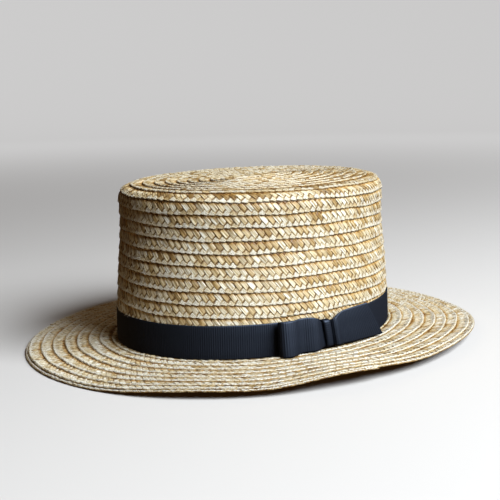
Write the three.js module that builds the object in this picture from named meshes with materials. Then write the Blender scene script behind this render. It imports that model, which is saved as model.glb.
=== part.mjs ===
// A straw boater hat: a hollow crown and a brim sewn from lapped rows of plait,
// with a ribbon band and a flat bow.
// Millimetres. The front of the hat faces -Y, the wearer's left is +X, and the brim rests on Z = 0.
import * as THREE from "three";

// Driving dimensions of the head oval, measured at the outside of the band
const HALF_LENGTH = 104.5;
const HALF_WIDTH = 84;

// Straw
const HEAD_LINE = 6.5; // height of the crown's foot above the floor
const STRAW_WALL = 2.2;
const ROW_LIP = 0.55; // how far a row's free edge stands out, and its covered edge sinks in
const LIP_STEP = 0.6; // length of the step from a covered edge to the lip over it
const CROWN_ROWS = 22;
const BRIM_WIDTH = 60;
const BRIM_ROWS = 8;
const BRIM_TUCK = 3.6; // how far the brim reaches under the crown's wall
const BRIM_EDGE_TOP = 2.5; // height of the brim's top face at its edge, where it rests on the floor
const BRIM_CURL = 1.5; // power by which the lift grows from the crown to the edge
const EDGE_ROUND = 0.7;
const REST_WIDTH = 5; // flat underside along the brim's edge

// Ribbon
const RIBBON_THICKNESS = 1;
const BAND_WIDTH = 20;
const BAND_INSET = 0.85; // inner face of the band, measured in from the head oval
const BAND_DIP = { depth: 2, reach: 9 }; // the band's top edge sinks under the knot
const KNOT_ANGLE = THREE.MathUtils.degToRad(76); // from the front towards the wearer's left
const KNOT = { along: -2.5, width: 6.4, slant: 3 }; // slant is its foot's shift towards the back

// Clearance and facets
const GAP = 0.3;
const STRAW_SIDES = 48;
const BAND_SIDES = 96;

// The crown's section from foot to tip centre: inset from the head oval, height above the head line
const CROWN_SECTION = [
  { inset: 1.8, height: 0 },
  { inset: 2.0, height: 20 },
  { inset: 3.3, height: 45 },
  { inset: 5.6, height: 70 },
  { inset: 5.5, height: 82 },
  { inset: 4.8, height: 91 },
  { inset: 6.4, height: 96.3 },
  { inset: 12, height: 99.5 },
  { inset: 22, height: 100.3 },
  { inset: 50, height: 100.8 },
  { inset: 80, height: 101 },
];

// How far the brim's edge is lifted off the floor, at its crests and hollows; it rests at other angles
const BRIM_LIFT = [
  { angle: 4, lift: 0 },
  { angle: 34, lift: 4.2 },
  { angle: 45, lift: 3.8 },
  { angle: 65, lift: 8.2 },
  { angle: 88, lift: 5.0 },
  { angle: 101, lift: 5.5 },
  { angle: 160, lift: 0 },
];

// Middle lines of the bow's ribbons: along the band from the knot, out from its face,
// and the heights of the two edges above the head line
const LOOP_PATH = [
  { along: -3.4, out: 0.9, low: 2.4, high: 17.2 },
  { along: -7.8, out: 0.9, low: 2.3, high: 17.3 },
  { along: -10, out: 0.9, low: 1.6, high: 19.6 },
  { along: -17, out: 0.9, low: 0.8, high: 21.2 },
  { along: -27, out: 1.1, low: 0.4, high: 21.4 },
  { along: -34, out: 1.9, low: 0.3, high: 21.4 },
  { along: -36.4, out: 3.4, low: 0.3, high: 21.4 },
  { along: -35.6, out: 5.2, low: 0.3, high: 21.4 },
  { along: -32, out: 6.3, low: 0.3, high: 21.5 },
  { along: -25, out: 6.6, low: 0.4, high: 21.6 },
  { along: -17, out: 5.8, low: 0.8, high: 21.6 },
  { along: -12, out: 4.6, low: 1.4, high: 20.9 },
  { along: -10, out: 3.8, low: 1.8, high: 19.8 },
  { along: -7.8, out: 3.1, low: 2.3, high: 17.3 },
  { along: -3.4, out: 3.0, low: 2.4, high: 17.2 },
];
const TAIL_PATH = [
  { along: -2.4, out: 0.9, low: 2.4, high: 17.2 },
  { along: -0.4, out: 0.9, low: 2.4, high: 17.3 },
  { along: 2.8, out: 1.2, low: 2.3, high: 19.2 },
  { along: 7, out: 1.8, low: 1.4, high: 21 },
  { along: 13, out: 2.4, low: 0.8, high: 21.8 },
  { along: 24, out: 3.0, low: 0.5, high: 22.8 },
  { along: 42, out: 4.6, low: 0.4, high: 24 },
];
const TAIL_CUT = 12; // how much longer the tail's lower edge is than its upper one

// The knot wraps the bow: out from the band's face, height above the head line
const KNOT_PATH = [
  { out: 0.4, height: 1.5 },
  { out: 3.2, height: 1.5 },
  { out: 4.2, height: 2.3 },
  { out: 4.5, height: 5.5 },
  { out: 4.6, height: 9.8 },
  { out: 4.5, height: 14.2 },
  { out: 4.2, height: 17.3 },
  { out: 3.2, height: 18.1 },
  { out: 0.4, height: 18.1 },
];

const STRAW = { color: 0xd9b776, roughness: 0.5, metalness: 0 };
const NAVY_RIBBON = { color: 0x1c222e, roughness: 0.75, metalness: 0 };

// A closed solid through rings of equally many points.
// Its last ring joins the first, or both ends are capped.
function loftRings(rings, closed) {
  const count = rings[0].length;
  const points = rings.flat();
  const triangles = [];
  const links = closed ? rings.length : rings.length - 1;
  for (let i = 0; i < links; i++) {
    const here = i * count;
    const next = ((i + 1) % rings.length) * count;
    for (let j = 0; j < count; j++) {
      const k = (j + 1) % count;
      triangles.push(here + j, here + k, next + k);
      triangles.push(here + j, next + k, next + j);
    }
  }
  if (!closed) {
    const first = points.push(middleOf(rings[0])) - 1;
    const last = points.push(middleOf(rings.at(-1))) - 1;
    const end = (rings.length - 1) * count;
    for (let j = 0; j < count; j++) {
      const k = (j + 1) % count;
      triangles.push(first, k, j);
      triangles.push(last, end + j, end + k);
    }
  }
  return facingOut(points, triangles);
}

function middleOf(ring) {
  const sum = new THREE.Vector3();
  for (const point of ring) sum.add(point);
  return sum.divideScalar(ring.length);
}

// The triangles as a geometry, turned round where they enclose a negative volume
function facingOut(points, triangles) {
  let volume = 0;
  for (let i = 0; i < triangles.length; i += 3) {
    const [a, b, c] = triangles.slice(i, i + 3).map((index) => points[index]);
    volume += a.dot(new THREE.Vector3().crossVectors(b, c));
  }
  if (volume < 0) triangles.reverse();
  const geometry = new THREE.BufferGeometry().setFromPoints(points);
  geometry.setIndex(triangles);
  geometry.computeVertexNormals();
  return geometry;
}

// One ring round the hat at an inset from the head oval; height may depend on the angle
function ovalRing(sides, inset, heightAt) {
  return Array.from({ length: sides }, (_, i) => {
    const angle = (i / sides) * 2 * Math.PI;
    return new THREE.Vector3(
      (HALF_WIDTH - inset) * Math.sin(angle),
      -(HALF_LENGTH - inset) * Math.cos(angle),
      heightAt(angle),
    );
  });
}

// The crown: a spline section with a covered edge and a lip at each row outside, plain inside
function crownGeometry() {
  const section = new THREE.SplineCurve(CROWN_SECTION.map((p) => new THREE.Vector2(p.inset, p.height)));
  const length = section.getLength();
  const pitch = length / CROWN_ROWS;
  const at = (along, out) => {
    const u = THREE.MathUtils.clamp(along / length, 0, 1);
    const tangent = section.getTangentAt(u);
    const outward = new THREE.Vector2(-tangent.y, tangent.x);
    return section.getPointAt(u).addScaledVector(outward, out);
  };
  const outside = [at(0, ROW_LIP)];
  for (let row = 1; row <= CROWN_ROWS; row++) {
    outside.push(at(row * pitch - LIP_STEP, -ROW_LIP));
    if (row < CROWN_ROWS) outside.push(at(row * pitch, ROW_LIP));
  }
  const inside = [];
  for (let row = 0; row <= CROWN_ROWS; row += 2) inside.push(at(row * pitch, -STRAW_WALL));
  const profile = [...outside.reverse(), ...inside];
  return loftRings(profile.map((p) => ovalRing(STRAW_SIDES, p.x, () => HEAD_LINE + p.y)), false);
}

// Eased from crest to hollow of the brim's wave
function brimLift(angle) {
  const degrees = THREE.MathUtils.radToDeg(angle);
  const next = BRIM_LIFT.findIndex((row) => row.angle >= degrees);
  if (next < 1) return 0;
  const from = BRIM_LIFT[next - 1];
  const to = BRIM_LIFT[next];
  const share = THREE.MathUtils.smoothstep(degrees, from.angle, to.angle);
  return THREE.MathUtils.lerp(from.lift, to.lift, share);
}

// One ring of the brim at a distance out from the head oval, raised or sunk from its sloping top face
function brimRing(distance, raise) {
  const share = Math.max(distance / BRIM_WIDTH, 0);
  const top = THREE.MathUtils.lerp(HEAD_LINE, BRIM_EDGE_TOP, share);
  const heightAt = (angle) => top + raise + brimLift(angle) * share ** BRIM_CURL;
  return ovalRing(STRAW_SIDES, -distance, heightAt);
}

// The height of a point under the brim's top face that lies level with the floor where the brim rests
function toFloor(distance) {
  return -THREE.MathUtils.lerp(HEAD_LINE, BRIM_EDGE_TOP, distance / BRIM_WIDTH);
}

// The brim: lapped rows above, their covered edges below, and a flat strip that rests on the floor
function brimGeometry() {
  const pitch = (BRIM_WIDTH + BRIM_TUCK) / BRIM_ROWS;
  const rings = [brimRing(-BRIM_TUCK, -GAP), brimRing(0, -GAP)];
  for (let row = 1; row < BRIM_ROWS; row++) {
    const lip = -BRIM_TUCK + row * pitch;
    rings.push(brimRing(lip, 0), brimRing(lip + LIP_STEP, -2 * ROW_LIP));
  }
  rings.push(brimRing(BRIM_WIDTH - EDGE_ROUND, 0), brimRing(BRIM_WIDTH, -EDGE_ROUND));
  const edge = BRIM_WIDTH - EDGE_ROUND;
  const rest = BRIM_WIDTH - REST_WIDTH;
  rings.push(brimRing(BRIM_WIDTH, EDGE_ROUND - BRIM_EDGE_TOP));
  rings.push(brimRing(edge, toFloor(edge)), brimRing(rest, toFloor(rest)));
  for (let row = BRIM_ROWS - 1; row > 0; row--) {
    const covered = -BRIM_TUCK + row * pitch - LIP_STEP;
    rings.push(brimRing(covered, -STRAW_WALL - ROW_LIP), brimRing(covered - LIP_STEP, -STRAW_WALL));
  }
  rings.push(brimRing(-BRIM_TUCK, -STRAW_WALL - GAP));
  return loftRings(rings, true);
}

// The angle that lies a distance along the head oval from the knot, towards the back
function angleAlong(distance) {
  const steps = 60;
  let angle = KNOT_ANGLE;
  for (let i = 0; i < steps; i++) {
    const speed = Math.hypot(HALF_WIDTH * Math.cos(angle), HALF_LENGTH * Math.sin(angle));
    angle += distance / steps / speed;
  }
  return angle;
}

// A point of the bow: along the band from the knot, out from the band's face, up from the head line
function bowPoint(along, out, height) {
  const angle = angleAlong(along);
  const face = RIBBON_THICKNESS - BAND_INSET;
  const outward = new THREE.Vector3(
    HALF_LENGTH * Math.sin(angle),
    -HALF_WIDTH * Math.cos(angle),
    0,
  ).normalize();
  return new THREE.Vector3(
    HALF_WIDTH * Math.sin(angle),
    -HALF_LENGTH * Math.cos(angle),
    HEAD_LINE + height,
  ).addScaledVector(outward, face + out);
}

// The band: a plain ring of ribbon whose top edge dips where the knot pinches it
function bandGeometry() {
  const knotAngle = angleAlong(KNOT.along);
  const radius = (HALF_LENGTH + HALF_WIDTH) / 2;
  const topAt = (angle) => {
    const share = Math.min(Math.abs(angle - knotAngle) * (radius / BAND_DIP.reach), 1);
    return HEAD_LINE + BAND_WIDTH - BAND_DIP.depth * THREE.MathUtils.smoothstep(1 - share, 0, 1);
  };
  const footAt = () => HEAD_LINE + GAP;
  const face = BAND_INSET - RIBBON_THICKNESS;
  const rings = [
    ovalRing(BAND_SIDES, BAND_INSET, footAt),
    ovalRing(BAND_SIDES, face, footAt),
    ovalRing(BAND_SIDES, face, topAt),
    ovalRing(BAND_SIDES, BAND_INSET, topAt),
  ];
  return loftRings(rings, true);
}

// Unit normal of a path of 2-D points at one of them, on the right-hand side of its direction
function pathNormal(path, i) {
  const before = path[Math.max(i - 1, 0)];
  const after = path[Math.min(i + 1, path.length - 1)];
  return new THREE.Vector2(after.y - before.y, before.x - after.x).normalize();
}

// A ribbon that stands on its edge beside the band. Its end may be cut to a slant by cut.
function bowRibbonGeometry(path, cut) {
  const plan = path.map((p) => new THREE.Vector2(p.along, p.out));
  const reach = Math.max(...path.map((p) => Math.abs(p.along - path[0].along)));
  const rings = path.map((p, i) => {
    const side = pathNormal(plan, i).multiplyScalar(RIBBON_THICKNESS / 2);
    const shift = (cut / 2) * ((p.along - path[0].along) / reach) ** 2;
    return [
      bowPoint(p.along + side.x + shift, p.out + side.y, p.low),
      bowPoint(p.along - side.x + shift, p.out - side.y, p.low),
      bowPoint(p.along - side.x - shift, p.out - side.y, p.high),
      bowPoint(p.along + side.x - shift, p.out + side.y, p.high),
    ];
  });
  return loftRings(rings, false);
}

// The wrap that pinches the bow, leaning towards the front at its top
function knotGeometry() {
  const plan = KNOT_PATH.map((p) => new THREE.Vector2(p.out, p.height));
  const middle = (KNOT_PATH[0].height + KNOT_PATH.at(-1).height) / 2;
  const rise = KNOT_PATH.at(-1).height - KNOT_PATH[0].height;
  const rings = KNOT_PATH.map((p, i) => {
    const side = pathNormal(plan, i).multiplyScalar(RIBBON_THICKNESS / 2);
    const along = KNOT.along - (KNOT.slant * (p.height - middle)) / rise;
    return [
      bowPoint(along - KNOT.width / 2, p.out + side.x, p.height + side.y),
      bowPoint(along + KNOT.width / 2, p.out + side.x, p.height + side.y),
      bowPoint(along + KNOT.width / 2, p.out - side.x, p.height - side.y),
      bowPoint(along - KNOT.width / 2, p.out - side.x, p.height - side.y),
    ];
  });
  return loftRings(rings, false);
}

function piece(name, geometry, finish) {
  const mesh = new THREE.Mesh(geometry, new THREE.MeshStandardMaterial(finish));
  mesh.name = name;
  return mesh;
}

const hat = new THREE.Group();
hat.add(piece("crown", crownGeometry(), STRAW));
hat.add(piece("brim", brimGeometry(), STRAW));
hat.add(piece("hat_band", bandGeometry(), NAVY_RIBBON));
hat.add(piece("bow_loop", bowRibbonGeometry(LOOP_PATH, 0), NAVY_RIBBON));
hat.add(piece("bow_tail", bowRibbonGeometry(TAIL_PATH, TAIL_CUT), NAVY_RIBBON));
hat.add(piece("bow_knot", knotGeometry(), NAVY_RIBBON));

export default hat;
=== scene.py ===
import math

import bpy
import numpy as np
from mathutils import Matrix, Vector


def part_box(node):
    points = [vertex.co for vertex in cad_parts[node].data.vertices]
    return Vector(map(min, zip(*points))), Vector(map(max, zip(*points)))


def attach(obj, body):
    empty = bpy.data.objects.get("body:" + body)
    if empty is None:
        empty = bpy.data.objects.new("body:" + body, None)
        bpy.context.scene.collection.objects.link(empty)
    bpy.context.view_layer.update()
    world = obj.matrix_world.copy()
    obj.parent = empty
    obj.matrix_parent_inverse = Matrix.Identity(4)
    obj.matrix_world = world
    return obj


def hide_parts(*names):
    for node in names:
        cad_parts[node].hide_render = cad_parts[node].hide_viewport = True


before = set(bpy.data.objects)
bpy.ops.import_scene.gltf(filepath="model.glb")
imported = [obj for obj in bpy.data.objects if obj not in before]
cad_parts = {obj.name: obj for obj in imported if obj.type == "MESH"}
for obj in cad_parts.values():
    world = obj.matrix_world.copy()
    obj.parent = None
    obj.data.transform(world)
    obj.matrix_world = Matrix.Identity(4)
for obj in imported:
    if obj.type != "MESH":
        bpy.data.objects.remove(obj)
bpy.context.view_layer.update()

# A straw boater: crown and brim sewn from one spiral of plait, a grosgrain band and a flat bow.
# Sizes are millimetres until a mesh is made. The front of the hat faces -Y, the wearer's left is +X and
# the brim rests on z = 0. Angles round the hat start at the front and grow towards the wearer's left.
MM = 0.001
BRIM_LOW, BRIM_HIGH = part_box("brim")
CHANCE = np.random.default_rng(1908)

# The hat's form
BRIM_WIDTH = 60.0
BRIM_DROP = 4.0  # from the head line down to the brim's edge
BRIM_CURL = 1.5  # power by which the brim's lift grows towards its edge
HEAD_LINE = 6.5  # height of the crown's foot above the floor
HALF_WIDTH = (BRIM_HIGH[0] - BRIM_LOW[0]) / 2 / MM - BRIM_WIDTH
HALF_LENGTH = (BRIM_HIGH[1] - BRIM_LOW[1]) / 2 / MM - BRIM_WIDTH
TIP_OVAL = 66.0  # the rows nearer than this to the tip's middle line turn from ovals to round-ended bars
TIP_ROUND = 0.3  # how round the ends of those bars are
FOOT_BEND = 1.2  # radius of the bend from the crown's side to the brim
SECTION_STEP = 0.2  # how finely the hat's section is cut
TIP_INSET = 50.0  # points of the section with a greater inset than this lie on the tip
SHOULDER_INSET = 6.0  # inset of the shoulder's lower end

# The crown's section from the tip to the foot: inset from the head oval, height above the head line
CROWN_SECTION = [
    (94, 101), (80, 101), (50, 100.8), (22, 100.3), (12, 99.5), (6.4, 96.3), (4.8, 91),
    (5.1, 82), (5.0, 70), (2.8, 45), (1.3, 20), (1.3, FOOT_BEND),
]

# How far the brim's edge is lifted off the floor on the wearer's left: angle in degrees, lift
BRIM_LIFT = [(4, 0), (34, 4.2), (45, 3.8), (65, 8.2), (88, 5.0), (101, 5.5), (160, 0)]

# The plait and the spiral that it is sewn in
ROW_PITCH = 7.75
# Section of one sewn row: distance from its outer edge, height of its middle layer from the hat's section
ROW_SECTION = [
    (0, -0.4), (0.25, -0.15), (0.7, -0.03), (2, -0.1), (4, -0.35), (6, -0.75), (7.75, -1.05), (12.4, -1.6),
]
ROW_DEPTH = (1.05, 0.76, 0.68)  # how deep that section is on the tip, the crown's side and the brim
# Slow unevenness of the sewn rows: size, wavelength along the plait, phase
ROW_WAVER = [(0.18, 37, 0.3), (0.28, 83, 1.9), (0.3, 191, 4.0)]
FIRST_ROW = 0.0  # distance of the first row's edge from the tip's middle line
LAST_TURN = math.radians(-33)  # where the last turn begins, which is sewn under the turn before
LAST_STEP = 1.9  # how far it comes out beyond that turn
EDGE_DROP = 1.5  # how far it sinks under that turn
PLAIT_END = math.radians(77 + 360)  # where the plait ends
ROW_SWAY = (1.2, math.radians(46))  # the rows run lower on one side: by how much, rising through which angle
STRAND_PITCH = 4.3  # along the row
CROSSINGS = 4  # strand crossings from edge to edge of the plait
CROSSING_WIDTH = 2.6  # across the row
PLAIT_WIDTH = CROSSINGS * CROSSING_WIDTH
STRAND_LEAN = STRAND_PITCH / 2 / CROSSING_WIDTH  # along the row for each millimetre across it
STRAND_RISE = {1: 0.38, -1: 0.34}  # how far a strand rises and sinks as it passes over and under
STRAND_THICKNESS = 0.5
# Strands that lean one way lie uppermost at the rows' outer edges, and are wide and pale there
STRAND_WIDTH = {1: (1.06, 1.18), -1: (0.92, 1.04)}  # shares of the pitch
# Tone from 0, pale, to 1, brown: lowest, highest, rarity of brown
STRAND_TONE = {1: (0.0, 0.66, 2.4), -1: (0.2, 0.88, 1.0)}
# Painted shade and light added to that on the tip, the crown's side and the brim: painted shade browns the
# tip, painted light pales the brim
ZONE_SHADE_AND_LIGHT = {1: (0.16, 0.0, -0.2), -1: (0.2, 0.0, -0.1)}
EDGE_SHADE = (0.2, 0.16, 0.06)  # painted shade, added at the fold of the row's outer edge where the line of shade below each row falls, in the same places
COVER_SHADE = (0.0, 0.0, 0.4)  # painted shade, added where the row goes under the lip of the row before it, in the same places
# The share of that: distance from the row's outer edge, share
COVER_SHADE_SHARE = ([6.6, 7.4, 9.0, 10.4], [0, 1, 1, 0])
DIVE_SHADE = 0.7  # painted shade, added to the tone where a strand goes under its neighbours
# The share of that: crossings passed, share
DIVE_SHADE_SHARE = {1: ([0.86, 1.06], [0, 1]), -1: ([0.5, 0.9, 1.06, 1.34], [0.3, 1, 1, 0])}
# The band presses the straw in, and painted shade darkens it there: distance down the section from the
# crown's foot, share of the press
FOOT_PRESS = ([-20, -14, 0, 7], [0, 1, 1, 0])
FOOT_SHADE, FOOT_SINK = 0.35, 0.9  # how much painted shade darkens the straw there, and how much lower it lies
STRAND_DIVE = 2.8  # how steeply a strand dives under its neighbour
DIVE_EARLY = {1: -0.06, -1: 0.26}  # how early it dives, so that the edge of the strand on top stands clear
PATTERN_SHIFT = 1.3  # moves the crossings away from the plait's outer edge
END_CUT = {1: 0.8, -1: 0.0}  # how far the fold at the outer edge runs across the row
EDGE_FOLD = 0.4  # width of the rounded fold at the plait's edges
# How strands differ by chance
RISE_CHANCE = (0.65, 1.35)  # shares of their rise
BACK_SHIFT = 0.05  # most that a strand's back lies to one side, as a share of the pitch
BACK_TILT = 0.3  # most that its back tilts, as a share of its thickness
STRAND_ROLL = 0.16  # most that one of its sides lies above its middle
STRAND_STRAY = 0.2  # most that it lies out of place along the row
STRAND_SKEW = 0.5  # most that its two ends differ in place
SKEW_MIDDLE = 0.3  # where across the plait a skewed strand stays in place

# Ribbon
RIBBON_THICKNESS = 0.6
RIBBON_EDGE = 0.55  # share of that thickness at its edges
RIBBON_CUTS = np.array([0, 0.04, 0.35, 0.65, 0.96, 1.0])  # where it is sectioned across its width
RIB_PITCH = 1.35  # of the ribs that run from edge to edge
RIB_DEPTH = 0.08
KNOT_RIBS = 0.5  # share of that depth on the tightly drawn knot
RIB_STEPS = 8  # mesh columns for each rib
BAND_TOP = 20.0  # height of the band's upper edge above the head line
BAND_FOOT = -1.0  # height of its lower edge
BAND_INSET = 0.35  # middle of the band's thickness at its foot, in from the head oval
BAND_LEAN = 0.5  # how much further in its top edge lies
BAND_FACE = 0.15  # the face that the bow lies on, out from the head oval
# The band's top edge sinks under the bow: place along it from the knot, depth, reach to front and back
BAND_DIP = (1.0, 4.2, 13.0, 11.0)
KNOT_ANGLE = math.radians(76)
KNOT_ALONG = -2.9  # middle of the knot along the band
KNOT_WIDTH = 5.2
KNOT_SLANT = 3.0  # how much further to the front its top lies than its foot
KNOT_ROLL = 1.0  # how far its sides are rolled in
KNOT_STEPS = 11  # mesh columns across it
TAIL_CUT = 11.0  # how much longer the tail's lower edge is than its upper one
# How much further out the lower edges of the loop and the tail lie than their upper ones, as a share
LOOP_LEAN, TAIL_LEAN = 0.4, 0.6

# Middle lines of the bow's ribbons: along the band from the knot, out from its face,
# and the heights of the two edges above the head line
LOOP_PATH = [
    (-3.4, 0.9, 1.5, 16.6), (-7.8, 0.9, 1.5, 16.7), (-10, 0.9, 1.3, 18.2), (-17, 0.9, 0.8, 19.4),
    (-27, 1.1, 0.4, 19.8), (-34, 1.5, 0.3, 20.3), (-36.6, 2.6, 0.3, 20.8), (-37.1, 4.5, 0.3, 21.4),
    (-36.5, 6.6, 0.3, 21.5), (-34.6, 8.0, 0.3, 21.6), (-31.5, 8.3, 0.4, 21.7), (-28, 7.2, 0.6, 21.9),
    (-24.5, 5.2, 0.8, 22.0), (-21.5, 4.8, 0.9, 22.1), (-18, 5.7, 1.0, 22.1), (-15, 6.3, 1.1, 21.7),
    (-12, 6.0, 1.3, 20.6), (-9.6, 4.5, 1.4, 19.0), (-7.6, 3.2, 1.5, 17.6), (-6, 2.2, 1.5, 17.2),
    (-3.4, 1.9, 1.5, 17.2),
]
TAIL_PATH = [
    (-2.6, 0.9, 1.5, 17.2), (0.2, 0.9, 1.5, 17.2), (1.3, 1.4, 1.5, 17.4), (1.9, 3.0, 1.5, 17.7),
    (2.8, 4.3, 1.5, 18.2), (4.4, 4.4, 1.4, 19.1), (7.5, 3.4, 1.2, 20.6), (10.5, 3.2, 1.0, 21.7),
    (15, 3.8, 1.0, 22.3), (24, 5.2, 1.2, 23.0), (35.3, 8.2, 1.7, 23.9),
]
# The knot's wrap: out from the band's face, height above the head line
KNOT_PATH = [
    (0.4, 1.5), (3.2, 1.5), (4.2, 2.3), (4.5, 5.5), (4.6, 9.8), (4.5, 14.2), (4.2, 17.3), (3.2, 18.1),
    (0.4, 18.1),
]


def smooth_line(points, steps):
    """Points on a smooth curve through the given points, steps of them for each stretch."""
    p = np.asarray(points, float)
    p = np.vstack([p[0], p, p[-1]])
    share = np.linspace(0, 1, steps, endpoint=False)[:, None]
    parts = []
    for a, b, c, d in zip(p, p[1:], p[2:], p[3:]):
        bend = (2 * a - 5 * b + 4 * c - d) * share**2 + (3 * b - a - 3 * c + d) * share**3
        parts.append(b + ((c - a) * share + bend) / 2)
    return np.vstack(parts + [p[-1:]])


def lengths(points):
    """Distance along a line of points, from the first one."""
    return np.concatenate([[0], np.cumsum(np.linalg.norm(np.diff(points, axis=0), axis=1))])


def section_path():
    """The hat's section from the tip's middle to the brim's edge: length, inset, height, outward normal."""
    crown = smooth_line(CROWN_SECTION, steps=40)
    turn = np.linspace(0, math.pi / 2, 8)[1:]
    foot_inset = CROWN_SECTION[-1][0]
    bend = np.column_stack([foot_inset - FOOT_BEND * (1 - np.cos(turn)), FOOT_BEND * (1 - np.sin(turn))])
    edge = (-BRIM_WIDTH, -BRIM_DROP)
    line = np.vstack([crown, bend, [edge]])
    along = lengths(line)
    even = np.arange(0, along[-1], SECTION_STEP)
    inset = np.interp(even, along, line[:, 0])
    height = np.interp(even, along, line[:, 1])
    # Lengths are counted from the tip's middle line, where the inset is half the head oval's width
    tip = inset > TIP_INSET
    even -= np.interp(-HALF_WIDTH, -inset[tip], even[tip])
    out, up = np.gradient(-inset, even), np.gradient(height, even)
    return even, inset, height, -up, out


PATH, PATH_INSET, PATH_HEIGHT, NORMAL_OUT, NORMAL_UP = section_path()
BRIM_EDGE = PATH[-1]
UPPER = PATH < 100  # the tip, the shoulder and the top of the side
SHOULDER = float(np.interp(-SHOULDER_INSET, -PATH_INSET[UPPER], PATH[UPPER]))
FOOT = float(PATH[np.argmin(np.abs(PATH_HEIGHT - FOOT_BEND))])
BRIM_START = FOOT + FOOT_BEND * math.pi / 2


def brim_lift(theta):
    """Lift of the brim's edge at an angle, eased from crest to hollow."""
    degrees = np.degrees(theta) % 360
    angles, lifts = np.array(BRIM_LIFT, float).T
    step = np.clip(np.searchsorted(angles, degrees) - 1, 0, len(angles) - 2)
    share = np.clip((degrees - angles[step]) / (angles[step + 1] - angles[step]), 0, 1)
    return lifts[step] + (lifts[step + 1] - lifts[step]) * share * share * (3 - 2 * share)


def oval(theta, inset):
    """Point of the oval inset inside the head oval. Near the tip's middle it is a round-ended bar."""
    ahead = np.cos(theta)
    radius = HALF_WIDTH - inset
    bar = np.clip(1 - np.abs(radius) / TIP_OVAL, 0, 1) ** 2
    straight = ahead * np.sqrt((1 + TIP_ROUND**2) / (ahead**2 + TIP_ROUND**2))
    middle = (HALF_LENGTH - HALF_WIDTH) * ((1 - bar) * ahead + bar * straight)
    return radius * np.sin(theta), -(radius * ahead + middle)


def hat_surface(along, theta, out):
    """Points of the straw: along the section from the tip's middle, round the hat, and out from its face."""
    inset = np.interp(along, PATH, PATH_INSET) - out * np.interp(along, PATH, NORMAL_OUT)
    height = np.interp(along, PATH, PATH_HEIGHT) + out * np.interp(along, PATH, NORMAL_UP)
    x, y = oval(theta, inset)
    share = np.clip(-inset / BRIM_WIDTH, 0, None)
    return np.stack([x, y, HEAD_LINE + height + brim_lift(theta) * share**BRIM_CURL], axis=-1)


def spiral():
    """The plait's course: angle, outer edge along the section, sink under the turn before, and length."""
    sway, middle = ROW_SWAY
    last = BRIM_EDGE - LAST_STEP
    first = LAST_TURN - 2 * math.pi * (last - FIRST_ROW) / ROW_PITCH
    theta = np.arange(first, PLAIT_END, math.radians(0.5))
    edge = last + ROW_PITCH * (theta - LAST_TURN) / (2 * math.pi)
    edge += sway * (np.sin(theta - middle) - math.sin(LAST_TURN - middle))
    under = np.clip((edge - last) / ROW_PITCH, 0, 1)
    held = np.minimum(edge, last) + LAST_STEP * under
    length = lengths(hat_surface(held - ROW_PITCH / 2, theta, 0))
    waver = sum(size * np.sin(length * 2 * math.pi / wave + turn) for size, wave, turn in ROW_WAVER)
    held = np.minimum(held + waver * np.clip((BRIM_EDGE - held) / ROW_PITCH, 0, 1), BRIM_EDGE)
    return theta, held, edge, EDGE_DROP * under, length


THETA, EDGE, LAID_EDGE, SINK, LENGTH = spiral()
ROW_CURVE = smooth_line(ROW_SECTION, steps=8)


def new_mesh(name, points, loops, starts, attribute, values, smooth):
    """A mesh object from arrays, with one vector attribute at its points."""
    mesh = bpy.data.meshes.new(name)
    mesh.vertices.add(len(points))
    mesh.vertices.foreach_set("co", (points * MM).astype(np.float32).ravel())
    mesh.loops.add(len(loops))
    mesh.loops.foreach_set("vertex_index", loops.astype(np.int32))
    mesh.polygons.add(len(starts))
    mesh.polygons.foreach_set("loop_start", starts.astype(np.int32))
    mesh.polygons.foreach_set("use_smooth", np.full(len(starts), smooth))
    layer = mesh.attributes.new(attribute, "FLOAT_VECTOR", "POINT")
    layer.data.foreach_set("vector", values.astype(np.float32).ravel())
    mesh.update(calc_edges=True)
    obj = bpy.data.objects.new(name, mesh)
    bpy.context.scene.collection.objects.link(obj)
    return obj


def tube_faces(count, sections, ring, closed=False):
    """Loops and starts of count tubes, each of sections rings with ring points, closed or capped."""
    links = sections if closed else sections - 1
    k, j = np.meshgrid(np.arange(links), np.arange(ring), indexing="ij")
    here, there, after = k * ring, (k + 1) % sections * ring, (j + 1) % ring
    sides = np.stack([here + j, here + after, there + after, there + j], axis=-1)
    first = np.arange(ring)[::-1]
    last = (sections - 1) * ring + np.arange(ring)
    caps = [] if closed else [first, last]
    one = np.concatenate([sides.ravel(), *caps])
    sizes = np.concatenate([np.full(sides.size // 4, 4), [ring] * len(caps)]).astype(int)
    loops = (one[None, :] + np.arange(count)[:, None] * sections * ring).ravel()
    starts = np.concatenate([[0], np.cumsum(np.tile(sizes, count))[:-1]])
    return loops, starts


# Cross-section of a flattened straw, from one edge over its flat back to the other:
# share across, share of thickness, share of the back's tilt
STRAW_RING = np.array([
    (0, 0.05, 0), (0.05, 0.78, 0.4), (0.17, 1, 1), (0.83, 1, -1), (0.95, 0.78, -0.4), (1, 0.05, 0),
])
# Where a strand is sectioned: at the fold by distance from the plait's edge, then by crossings passed
FOLD_CUTS = {1: (0.0, 0.4), -1: (0.0,)}
CROSSING_CUTS = {1: (0.9, 1.03, 1.16, 2.85, 3.1), -1: (1.0, 1.16, 1.34, 2.0, 2.65, 2.88)}
STRAW_CUTS = len(FOLD_CUTS[1]) + len(CROSSING_CUTS[1]) + 1


def strand_cuts(lean):
    """How far a strand's points lie from the plait's edge. The cuts run along the strands that it crosses."""
    across = STRAW_RING[:, 0]
    cuts = [END_CUT[lean] * (1 - across) + cut for cut in FOLD_CUTS[lean]]
    for crossing in CROSSING_CUTS[lean]:
        middle = PATTERN_SHIFT + CROSSING_WIDTH * (crossing - 0.5)
        slant = min(1, (middle - FOLD_CUTS[lean][-1]) / (CROSSING_WIDTH / 2))
        cuts.append(middle + lean * slant * CROSSING_WIDTH * (0.5 - across))
    return np.array(cuts + [np.full_like(across, PLAIT_WIDTH)])


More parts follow.
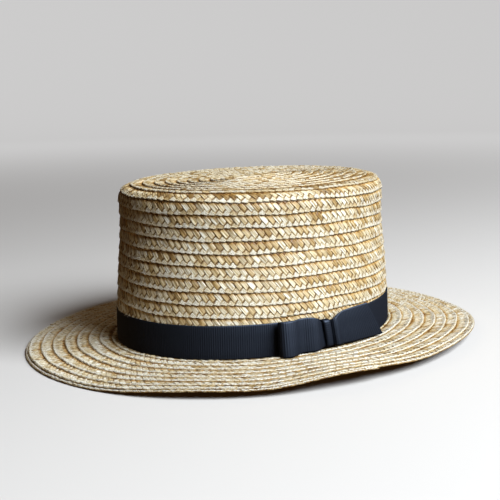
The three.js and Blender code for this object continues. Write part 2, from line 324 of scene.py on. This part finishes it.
def strand_legs(start, lean):
    """Points and coordinates of strands that cross the plait. lean is 1 or -1, start their places."""
    def each(low, high):
        """A number by chance for each strand."""
        return CHANCE.uniform(low, high, (len(start), 1, 1))

    across, back, tilt = STRAW_RING.T
    y = strand_cuts(lean)[None, :, :]
    turn = 0.5 + (across - 0.5) * each(*STRAND_WIDTH[lean])
    turn = turn + np.abs(tilt) * each(-BACK_SHIFT, BACK_SHIFT)
    crossing = (y - PATTERN_SHIFT) / CROSSING_WIDTH + (across if lean > 0 else 1 - across)
    wave = np.tanh(STRAND_DIVE * (np.cos(crossing * math.pi / 2) - lean * DIVE_EARLY[lean]))
    from_edge = y - END_CUT[lean] * (1 - across)
    near_edge = np.clip(np.minimum(from_edge, PLAIT_WIDTH - y) / EDGE_FOLD, 0, 1)
    fold = np.sqrt(1 - (1 - near_edge) ** 2)
    height = back + tilt * each(-BACK_TILT, BACK_TILT) - 0.5
    lift = lean * STRAND_RISE[lean] * each(*RISE_CHANCE) * wave * fold + STRAND_THICKNESS * height
    lift = lift + each(-STRAND_ROLL, STRAND_ROLL) * (2 * across - 1)
    stray = each(-STRAND_STRAY, STRAND_STRAY)
    stray = stray + each(-STRAND_SKEW, STRAND_SKEW) * (y / PLAIT_WIDTH - SKEW_MIDDLE)
    s = start[:, None, None] + lean * (y - PATTERN_SHIFT) * STRAND_LEAN + stray + turn * STRAND_PITCH
    edge = np.interp(s, LENGTH, EDGE)

    def by_zone(tip, side, brim):
        """A value for each point, eased between those of the tip, the crown's side and the brim."""
        places = [SHOULDER, SHOULDER + ROW_PITCH, FOOT, FOOT + PLAIT_WIDTH]
        return np.interp(edge, places, [tip, side, side, brim])

    # The brim's first rows stop at the crown's foot instead of climbing its side
    laid = np.where(edge > BRIM_START, np.maximum(edge - y, BRIM_START), edge - y)
    foot = np.interp(laid - BRIM_START, *FOOT_PRESS)
    out = by_zone(*ROW_DEPTH) * np.interp(y, *ROW_CURVE.T) - np.interp(s, LENGTH, SINK)
    out = out + lift - FOOT_SINK * foot
    points = hat_surface(laid, np.interp(s, LENGTH, THETA), out)
    pale, brown, rarity = STRAND_TONE[lean]
    tone = pale + (brown - pale) * each(0, 1) ** rarity
    # Painted shade darkens the tone where a strand dives under its neighbours, at the fold of the row's outer
    # edge, under the lip of the row before and beside the band; the zone values add painted shade on the tip
    # and painted light on the brim
    tone = tone + DIVE_SHADE * np.interp(crossing, *DIVE_SHADE_SHARE[lean])
    tone = tone + by_zone(*EDGE_SHADE) * (1 - near_edge)
    tone = tone + by_zone(*COVER_SHADE) * np.interp(y, *COVER_SHADE_SHARE)
    tone = tone + FOOT_SHADE * foot + by_zone(*ZONE_SHADE_AND_LIGHT[lean])
    place = np.stack(np.broadcast_arrays(across, y / PLAIT_WIDTH, tone), axis=-1)
    return points.reshape(-1, 3), place.reshape(-1, 3)


def straw_piece(name, node, begin, end):
    """The stretch of the plait whose outer edge lies from begin to end along the hat's section."""
    reach = PLAIT_WIDTH * STRAND_LEAN + 2 * STRAND_PITCH
    place = np.arange(reach, LENGTH[-1] - reach, STRAND_PITCH)
    laid = np.interp(place, LENGTH, LAID_EDGE)
    place = place[(laid >= begin) & (laid < end)]
    legs = [strand_legs(place, 1), strand_legs(place, -1)]
    points = np.vstack([leg[0] for leg in legs])
    values = np.vstack([leg[1] for leg in legs])
    loops, starts = tube_faces(2 * len(place), STRAW_CUTS, len(STRAW_RING))
    obj = new_mesh(name, points, loops, starts, "strand", values, smooth=False)
    obj.visible_glossy = False  # the ribbon doesn't mirror the straw
    obj.data.materials.append(STRAW)
    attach(obj, "root")
    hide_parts(node)
    return obj


def link(tree, start, end):
    """Joins an output socket to an input socket."""
    tree.links.new(start, end)


def new_material(name):
    """A material, its node tree and its shader."""
    material = bpy.data.materials.new(name)
    material.use_nodes = True
    tree = material.node_tree
    return material, tree, tree.nodes["Principled BSDF"]


def stretched_noise(tree, source, scale, detail):
    """Noise in the coordinates of a strand or a ribbon, stretched by a scale along each."""
    mapping = tree.nodes.new("ShaderNodeMapping")
    mapping.inputs["Scale"].default_value = scale
    noise = tree.nodes.new("ShaderNodeTexNoise")
    noise.inputs["Scale"].default_value = 1
    noise.inputs["Detail"].default_value = detail
    link(tree, source, mapping.inputs["Vector"])
    link(tree, mapping.outputs["Vector"], noise.inputs["Vector"])
    return noise.outputs["Fac"]


def mixed(tree, kind, factor, first, second):
    """Two colours mixed by a blend kind, with a fixed factor. Sockets 6, 7 and 2 are the node's colours."""
    node = tree.nodes.new("ShaderNodeMix")
    node.data_type = "RGBA"
    node.blend_type = kind
    node.inputs["Factor"].default_value = factor
    link(tree, first, node.inputs[6])
    link(tree, second, node.inputs[7])
    return node.outputs[2]


def ramp_of(tree, source, stops):
    """The colours that a ramp of (place, colour) stops gives to a value. The two ends come first."""
    node = tree.nodes.new("ShaderNodeValToRGB")
    for i, (place, colour) in enumerate(stops):
        element = node.color_ramp.elements[i] if i < 2 else node.color_ramp.elements.new(place)
        element.position = place
        element.color = (*colour, 1)
    link(tree, source, node.inputs["Fac"])
    return node.outputs["Color"]


def bumped(tree, height, strength, distance):
    """A normal bumped by a height, distance in millimetres."""
    bump = tree.nodes.new("ShaderNodeBump")
    bump.inputs["Strength"].default_value = strength
    bump.inputs["Distance"].default_value = distance * MM
    link(tree, height, bump.inputs["Height"])
    return bump.outputs["Normal"]


def straw_material():
    """Flattened wheat straw: pale to golden strands, streaked along their length, with a waxy gloss and
    painted shade at the strands' edges, at the rows' outer folds and under each row's lip.
    """
    material, tree, shader = new_material("straw_plait")
    place = tree.nodes.new("ShaderNodeAttribute")
    place.attribute_name = "strand"
    parts = tree.nodes.new("ShaderNodeSeparateXYZ")
    link(tree, place.outputs["Vector"], parts.inputs["Vector"])
    tone = ramp_of(tree, parts.outputs["Z"], [
        (0.0, (0.87, 0.85, 0.76)), (1.0, (0.27, 0.16, 0.055)), (0.35, (0.83, 0.77, 0.61)),
        (0.6, (0.76, 0.65, 0.43)), (0.8, (0.62, 0.46, 0.23)),
    ])
    fibre = stretched_noise(tree, place.outputs["Vector"], (4.4, 0.8, 61), 2)
    streak = ramp_of(tree, fibre, [
        (0.39, (0.42, 0.31, 0.16)), (0.57, (1, 1, 1)), (0.49, (0.80, 0.72, 0.56)),
    ])
    # Painted shade along each strand's two edges, in the gaps between strands
    painted_gap_shade = ramp_of(tree, parts.outputs["X"], [
        (0.0, (0.42, 0.27, 0.11)), (1.0, (0.42, 0.27, 0.11)), (0.13, (1, 1, 1)), (0.87, (1, 1, 1)),
    ])
    # Painted shade: darker at the fold of the row's outer edge and where the row lies under the lip of the
    # row before
    painted_lip_shade = ramp_of(tree, parts.outputs["Y"], [
        (0.0, (0.82, 0.70, 0.5)), (1.0, (1, 1, 1)), (0.04, (1, 1, 1)), (0.56, (1, 1, 1)),
        (0.69, (0.92, 0.74, 0.48)), (0.84, (0.92, 0.74, 0.48)), (0.95, (1, 1, 1)),
    ])
    colour = mixed(tree, "MULTIPLY", 0.9, mixed(tree, "MULTIPLY", 1.0, tone, painted_lip_shade), streak)
    link(tree, mixed(tree, "MULTIPLY", 0.7, colour, painted_gap_shade), shader.inputs["Base Color"])
    link(tree, bumped(tree, fibre, 0.8, 0.35), shader.inputs["Normal"])
    shader.inputs["Roughness"].default_value = 0.36
    shader.inputs["Specular IOR Level"].default_value = 0.35
    shader.inputs["Coat Weight"].default_value = 0.1
    shader.inputs["Coat Roughness"].default_value = 0.25
    return material


def ribbon_material():
    """Dark navy grosgrain with a soft sheen and a fine weave along the ribs."""
    material, tree, shader = new_material("navy_grosgrain")
    place = tree.nodes.new("ShaderNodeAttribute")
    place.attribute_name = "cloth"
    weave = stretched_noise(tree, place.outputs["Vector"], (2.2, 5.5, 1), 3)
    tone = ramp_of(tree, weave, [(0.25, (0.003, 0.004, 0.006)), (0.8, (0.007, 0.009, 0.014))])
    link(tree, tone, shader.inputs["Base Color"])
    link(tree, bumped(tree, weave, 0.4, 0.1), shader.inputs["Normal"])
    shader.inputs["Roughness"].default_value = 0.52
    shader.inputs["Specular IOR Level"].default_value = 0.7
    shader.inputs["Specular Tint"].default_value = (0.62, 0.74, 0.97, 1)
    return material


STRAW = straw_material()
NAVY = ribbon_material()

# The plait in stretches, so that no mesh grows too large
SIDE_MIDDLE = (SHOULDER + FOOT) / 2
BRIM_MIDDLE = BRIM_EDGE - 0.45 * BRIM_WIDTH
STRAW_PIECES = [
    straw_piece("straw_tip", "crown", -math.inf, SHOULDER),
    straw_piece("straw_side_upper", "crown", SHOULDER, SIDE_MIDDLE),
    straw_piece("straw_side_lower", "crown", SIDE_MIDDLE, FOOT),
    straw_piece("straw_brim_inner", "brim", FOOT, BRIM_MIDDLE),
    straw_piece("straw_brim_outer", "brim", BRIM_MIDDLE, math.inf),
]


def even_line(points, step):
    """A smooth curve through the points, cut into even steps. Also gives the length at each step."""
    line = smooth_line(points, steps=30)
    along = lengths(line)
    even = np.linspace(0, along[-1], int(round(along[-1] / step)) + 1)
    return np.column_stack([np.interp(even, along, column) for column in line.T]), even


def along_oval(distance):
    """The angle that lies a distance along the head oval from the knot, towards the back."""
    angle = np.linspace(KNOT_ANGLE - 1, KNOT_ANGLE + 1, 4001)
    line = np.column_stack(oval(angle, np.zeros_like(angle)))
    walked = lengths(line)
    return np.interp(distance + np.interp(KNOT_ANGLE, angle, walked), walked, angle)


def bow_point(along, out, height):
    """Points of the bow: along the band from the knot, out from the band's face, up from the head line."""
    angle = along_oval(along)
    x, y = oval(angle, np.zeros_like(angle))
    away = np.stack([HALF_LENGTH * np.sin(angle), -HALF_WIDTH * np.cos(angle)])
    away = away / np.linalg.norm(away, axis=0) * (BAND_FACE + out)
    return np.stack(np.broadcast_arrays(x + away[0], y + away[1], HEAD_LINE + height), axis=-1)


def ribbon_piece(name, node, middle, along, closed=False, ribs=1.0):
    """A ribbon from the points of its middle sheet, along and across, with ribs from edge to edge."""
    if closed:
        ahead = np.roll(middle, -1, axis=0) - np.roll(middle, 1, axis=0)
    else:
        ahead = np.gradient(middle, axis=0)
    normal = np.cross(ahead, np.gradient(middle, axis=1))
    normal /= np.linalg.norm(normal, axis=-1, keepdims=True)
    across = lengths(middle[0])
    inner = np.ones(len(across))
    inner[[0, -1]] = 0
    rib = ribs * RIB_DEPTH * np.cos(2 * math.pi * along / RIB_PITCH)[:, None] * inner
    half = (RIBBON_THICKNESS / 2 * (RIBBON_EDGE + (1 - RIBBON_EDGE) * inner) + rib)[..., None]
    ring = np.concatenate([(middle + normal * half)[:, ::-1], middle - normal * half], axis=1)
    cloth = np.stack(np.broadcast_arrays(along[:, None], across, 0.0), axis=-1)
    cloth = np.concatenate([cloth[:, ::-1], cloth], axis=1)
    loops, starts = tube_faces(1, len(along), 2 * len(across), closed)
    obj = new_mesh(name, ring.reshape(-1, 3), loops, starts, "cloth", cloth.reshape(-1, 3), smooth=True)
    obj.data.materials.append(NAVY)
    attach(obj, "root")
    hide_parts(node)
    return obj


def band():
    """The band round the crown's foot, pinched down under the bow. Gives its flat size too."""
    dense = np.linspace(0, 2 * math.pi, 7201)
    walked = lengths(np.column_stack(oval(dense, np.full_like(dense, BAND_INSET))))
    ribs = int(round(walked[-1] / RIB_PITCH))
    along = np.arange(ribs * RIB_STEPS) * walked[-1] / (ribs * RIB_STEPS)
    theta = np.interp(along, walked, dense)
    x, y = oval(theta[:, None], BAND_INSET + BAND_LEAN * RIBBON_CUTS)
    place, depth, ahead, behind = BAND_DIP
    from_dip = along - np.interp(along_oval(place), dense, walked)
    share = np.clip(1 - np.maximum(-from_dip / ahead, from_dip / behind), 0, 1)
    top = BAND_TOP - depth * share * share * (3 - 2 * share)
    height = HEAD_LINE + BAND_FOOT + (top - BAND_FOOT)[:, None] * RIBBON_CUTS
    middle = np.stack([x, y, height], axis=-1)
    obj = ribbon_piece("ribbon_band", "hat_band", middle, along * ribs * RIB_PITCH / walked[-1], closed=True)
    return obj, ((BAND_TOP - BAND_FOOT) * MM, walked[-1] * MM)


def bow_ribbon(name, node, path, lean, cut=0.0):
    """One ribbon of the bow, on its edge beside the band, its end cut to a slant, and its flat size."""
    line, along = even_line(path, RIB_PITCH / RIB_STEPS)
    place, out, low, high = (column[:, None] for column in line.T)
    gone = np.abs(place - place[0]) / np.max(np.abs(place - place[0]))
    shift = (0.5 - RIBBON_CUTS) * (cut * gone**2 + KNOT_SLANT * (1 - gone) ** 8)
    out = out * (1 + lean * (0.5 - RIBBON_CUTS))
    middle = bow_point(place + shift, out, low + (high - low) * RIBBON_CUTS)
    return ribbon_piece(name, node, middle, along), (np.max(high - low) * MM, along[-1] * MM)


def knot():
    """The wrap that pinches the bow, leaning towards the front at its top, with its sides rolled in."""
    line, along = even_line(KNOT_PATH, RIB_PITCH / RIB_STEPS)
    out, height = (column[:, None] for column in line.T)
    foot, rise = KNOT_PATH[0][1], KNOT_PATH[-1][1] - KNOT_PATH[0][1]
    side = np.linspace(1, -1, KNOT_STEPS)
    place = KNOT_ALONG - KNOT_SLANT * ((height - foot) / rise - 0.5) + side * KNOT_WIDTH / 2
    middle = bow_point(place, out - KNOT_ROLL * side**4, height + 0 * side)
    return ribbon_piece("ribbon_knot", "bow_knot", middle, along, ribs=KNOT_RIBS)


BAND, BAND_FLAT = band()
LOOP, LOOP_FLAT = bow_ribbon("ribbon_loop", "bow_loop", LOOP_PATH, LOOP_LEAN)
TAIL, TAIL_FLAT = bow_ribbon("ribbon_tail", "bow_tail", TAIL_PATH, TAIL_LEAN, TAIL_CUT)
KNOT = knot()


def make_camera():
    """The camera at the photograph's angle."""
    azimuth, distance, height = math.radians(41.3), 678.6, 171.3
    pan, tilt, roll = -0.005, -0.168, -0.021
    inward = Vector((-math.sin(azimuth), math.cos(azimuth), 0))
    sideways = Vector((math.cos(azimuth), math.sin(azimuth), 0))
    level = math.cos(pan) * inward + math.sin(pan) * sideways
    forward = math.cos(tilt) * level + math.sin(tilt) * Vector((0, 0, 1))
    right = math.cos(pan) * sideways - math.sin(pan) * inward
    up = right.cross(forward)
    right, up = (
        math.cos(roll) * right + math.sin(roll) * up,
        math.cos(roll) * up - math.sin(roll) * right,
    )
    data = bpy.data.cameras.new("camera")
    data.sensor_width = 36
    data.lens = 72
    data.clip_end = 50
    camera = bpy.data.objects.new("camera", data)
    place = -inward * distance + Vector((0, 0, height))
    turn = Matrix((right, up, -forward)).transposed().to_4x4()
    camera.matrix_world = Matrix.Translation(place * MM) @ turn
    bpy.context.scene.collection.objects.link(camera)
    bpy.context.scene.camera = camera


def floor_material():
    """Matt and pale, with a little light of its own far from the hat, where the lamps don't reach."""
    material, tree, shader = new_material("pale_floor")
    shader.inputs["Base Color"].default_value = (0.64, 0.6, 0.545, 1)
    shader.inputs["Roughness"].default_value = 0.8
    shader.inputs["Specular IOR Level"].default_value = 0.0
    shader.inputs["Emission Color"].default_value = (0.97, 0.985, 1.0, 1)
    place = tree.nodes.new("ShaderNodeNewGeometry")
    distance = tree.nodes.new("ShaderNodeVectorMath")
    distance.operation = "LENGTH"
    glow = tree.nodes.new("ShaderNodeMapRange")
    glow.interpolation_type = "SMOOTHSTEP"
    glow.inputs["From Min"].default_value = 0.3
    glow.inputs["From Max"].default_value = 2.4
    glow.inputs["To Max"].default_value = 0.5
    link(tree, place.outputs["Position"], distance.inputs[0])
    link(tree, distance.outputs["Value"], glow.inputs["Value"])
    link(tree, glow.outputs["Result"], shader.inputs["Emission Strength"])
    return material


def make_floor():
    """A pale disc that curves up far away. It doesn't light the hat, and the hat doesn't mirror it."""
    flat, bend, around = 2600.0, 1500.0, 96
    rise = np.linspace(0, math.pi / 2, 16)
    radius = np.concatenate([[300, 1200], flat + bend * np.sin(rise)])
    height = np.concatenate([[0, 0], bend * (1 - np.cos(rise))])
    angle = np.linspace(0, 2 * math.pi, around, endpoint=False)
    points = [(0, 0, 0)]
    for r, h in zip(radius, height):
        points += [(r * math.cos(a) * MM, r * math.sin(a) * MM, h * MM) for a in angle]
    faces = [(0, 1 + j, 1 + (j + 1) % around) for j in range(around)]
    for k in range(len(radius) - 1):
        here, there = 1 + k * around, 1 + (k + 1) * around
        faces += [
            (here + j, there + j, there + (j + 1) % around, here + (j + 1) % around)
            for j in range(around)
        ]
    mesh = bpy.data.meshes.new("floor")
    mesh.from_pydata(points, [], faces)
    mesh.shade_smooth()
    floor = bpy.data.objects.new("floor", mesh)
    bpy.context.scene.collection.objects.link(floor)
    mesh.materials.append(floor_material())
    floor.visible_diffuse = False
    floor.visible_glossy = False


def area_light(name, place, width, height, power, colour):
    """A soft lamp that faces the hat."""
    data = bpy.data.lights.new(name, "AREA")
    data.shape = "RECTANGLE"
    data.size = width
    data.size_y = height
    data.energy = power
    data.color = colour
    lamp = bpy.data.objects.new(name, data)
    lamp.location = place
    lamp.rotation_euler = (Vector((0, 0, 0.05)) - Vector(place)).to_track_quat("-Z", "Y").to_euler()
    bpy.context.scene.collection.objects.link(lamp)
    return lamp


def fill_light():
    """A lamp behind the hat that lights the straw and ribbon softly, with no glare and not on the floor."""
    lamp = area_light(
        "fill_light", place=(-1.2, 1.2, 0.6), width=1.4, height=0.8, power=7.5, colour=(1.0, 0.8, 0.56),
    )
    lamp.visible_glossy = False
    lit = bpy.data.collections.new("lit_by_fill")
    for piece in [*STRAW_PIECES, BAND, LOOP, TAIL, KNOT]:
        lit.objects.link(piece)
    lamp.light_linking.receiver_collection = lit


def studio_world():
    """A faint warm light from all round, and plain colours."""
    world = bpy.data.worlds.new("studio")
    world.use_nodes = True
    background = world.node_tree.nodes["Background"]
    background.inputs["Color"].default_value = (1.0, 0.61, 0.32, 1)
    background.inputs["Strength"].default_value = 0.053
    bpy.context.scene.world = world
    bpy.context.scene.view_settings.view_transform = "Standard"


make_camera()
make_floor()
area_light(
    "key_light", place=(1.2, 0.1, 1.1), width=1.2, height=0.95, power=63, colour=(0.82, 0.895, 1.0),
)
fill_light()
studio_world()
